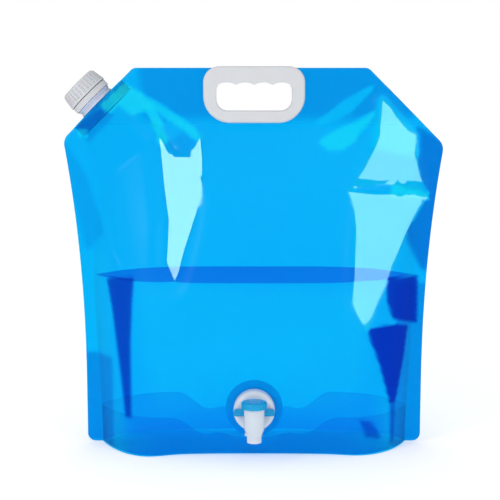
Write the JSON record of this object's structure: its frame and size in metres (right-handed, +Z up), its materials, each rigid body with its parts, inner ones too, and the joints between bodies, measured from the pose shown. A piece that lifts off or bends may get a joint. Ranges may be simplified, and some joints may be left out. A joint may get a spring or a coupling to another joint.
{
  "type": "collapsible water bag",
  "caption": "Stand-up collapsible water bag of translucent film with a corner screw spout, carry handle and push-button tap.",
  "frame": {"origin": "centre of the base, on the floor, in the middle plane between the front and back film", "axes": "+X to the right of someone facing the tap, +Y from the tap to the back, +Z up"},
  "size_m": [0.3693, 0.1516, 0.375],
  "materials": {
    "blue_film": "glossy translucent film",
    "spout_plastic": "translucent satin",
    "cap_plastic": "satin moulded",
    "liner_foam": "foam",
    "handle_plastic": "satin moulded",
    "tap_plastic": "glossy moulded",
    "button_plastic": "glossy moulded",
    "seal_rubber": "silicone",
    "spring_steel": "drawn wire"
  },
  "bodies": {
    "root": {"front_panel": "blue_film", "back_panel": "blue_film", "bottom_gusset": "blue_film", "spout_fitment": "spout_plastic", "tamper_ring": "cap_plastic", "handle_front": "handle_plastic", "handle_back": "handle_plastic", "tap_flange": "tap_plastic", "tap_gasket": "seal_rubber", "tap_nut": "tap_plastic", "tap_tail_seal": "seal_rubber", "tap_body": "tap_plastic", "finger_wings": "button_plastic", "return_spring": "spring_steel"},
    "cap_seal": {"cap_liner": "liner_foam"},
    "cap": {"screw_cap": "cap_plastic"},
    "button": {"push_button": "button_plastic", "piston_o_ring": "seal_rubber", "valve_stem": "tap_plastic", "valve_seal": "seal_rubber"}
  },
  "joints": [
    {"name": "cap_lift", "type": "slide", "parent": "root", "child": "cap_seal", "axis": [-0.7071, 0, 0.7071], "range_m": [0, 0.018]},
    {"name": "cap_turn", "type": "hinge", "parent": "cap_seal", "child": "cap", "pos_m": [-0.1515, 0, 0.339], "axis": [-0.7071, 0, 0.7071], "range_deg": [0, 1080]},
    {"name": "button_press", "type": "slide", "parent": "root", "child": "button", "axis": [0, 0, -1], "range_m": [0, 0.003], "stiffness_N_per_m": 300, "springref_m": -0.003, "deforming": ["return_spring"]}
  ],
  "couplings": [
    {"joint": "cap_lift", "follows": "cap_turn", "m_per_rad": 0.00095493}
  ]
}
